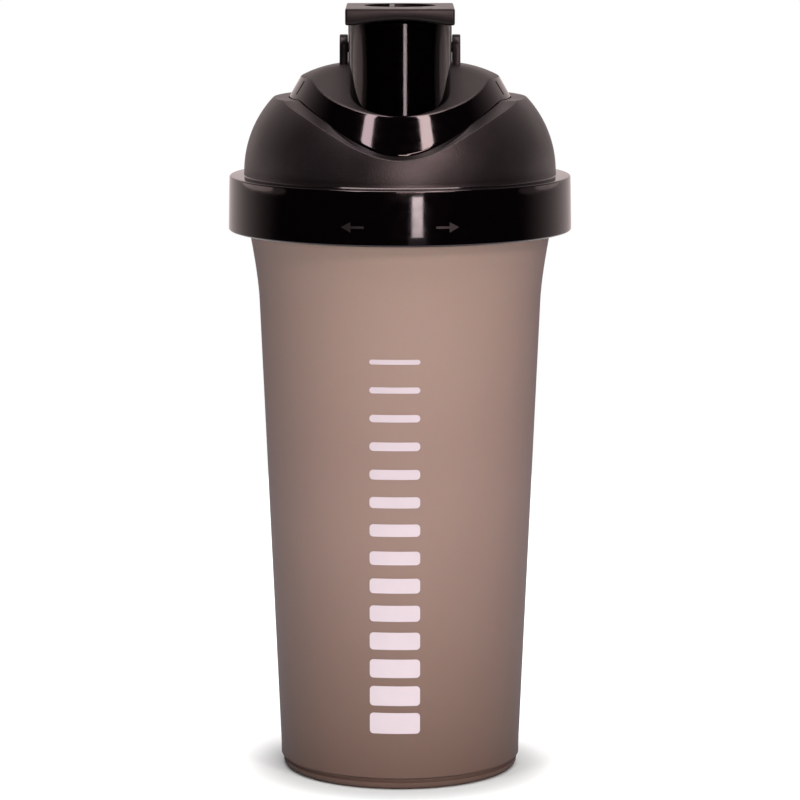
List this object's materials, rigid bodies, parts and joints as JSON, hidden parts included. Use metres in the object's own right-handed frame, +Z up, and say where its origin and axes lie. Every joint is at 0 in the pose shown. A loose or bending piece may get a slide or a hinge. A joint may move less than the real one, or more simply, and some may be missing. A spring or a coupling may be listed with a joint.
{
  "type": "protein shaker bottle",
  "caption": "Tapered translucent shaker cup with a domed screw lid, a hinged flip cap over the drinking spout and a strainer under the lid.",
  "frame": {"origin": "centre of the base, on the surface it stands on", "axes": "+Z up along the bottle's axis, drinking spout towards -Y, hinge pin along X"},
  "size_m": [0.1002, 0.1002, 0.2259],
  "materials": {
    "cup": "frosted translucent smoke-brown polypropylene",
    "lid": "black polypropylene, fine matte texture on the dome, polished collar",
    "seal": "dark grey silicone",
    "grid": "black polypropylene",
    "housing": "black polypropylene, polished side, satin top",
    "pin": "black acetal",
    "cap": "polished black polypropylene"
  },
  "bodies": {
    "cup": {"cup": "cup"},
    "strainer": {"mixing_grid": "grid"},
    "lid": {"screw_lid": "lid", "lid_gasket": "seal", "spout_housing": "housing", "hinge_pin": "pin"},
    "cap": {"flip_cap": "cap", "spout_plug": "seal"}
  },
  "joints": [
    {"name": "lid_lift", "type": "slide", "parent": "cup", "child": "strainer", "axis": [0, 0, 1], "range_m": [0, 0.0095]},
    {"name": "lid_turn", "type": "hinge", "parent": "strainer", "child": "lid", "pos_m": [0, 0, 0.168], "axis": [0, 0, 1], "range_deg": [0, 425]},
    {"name": "cap_flip", "type": "hinge", "parent": "lid", "child": "cap", "pos_m": [0, 0.0015, 0.213], "axis": [-1, 0, 0], "range_deg": [0, 115]}
  ],
  "couplings": [
    {"joint": "lid_lift", "follows": "lid_turn", "m_per_rad": 0.0012732}
  ]
}
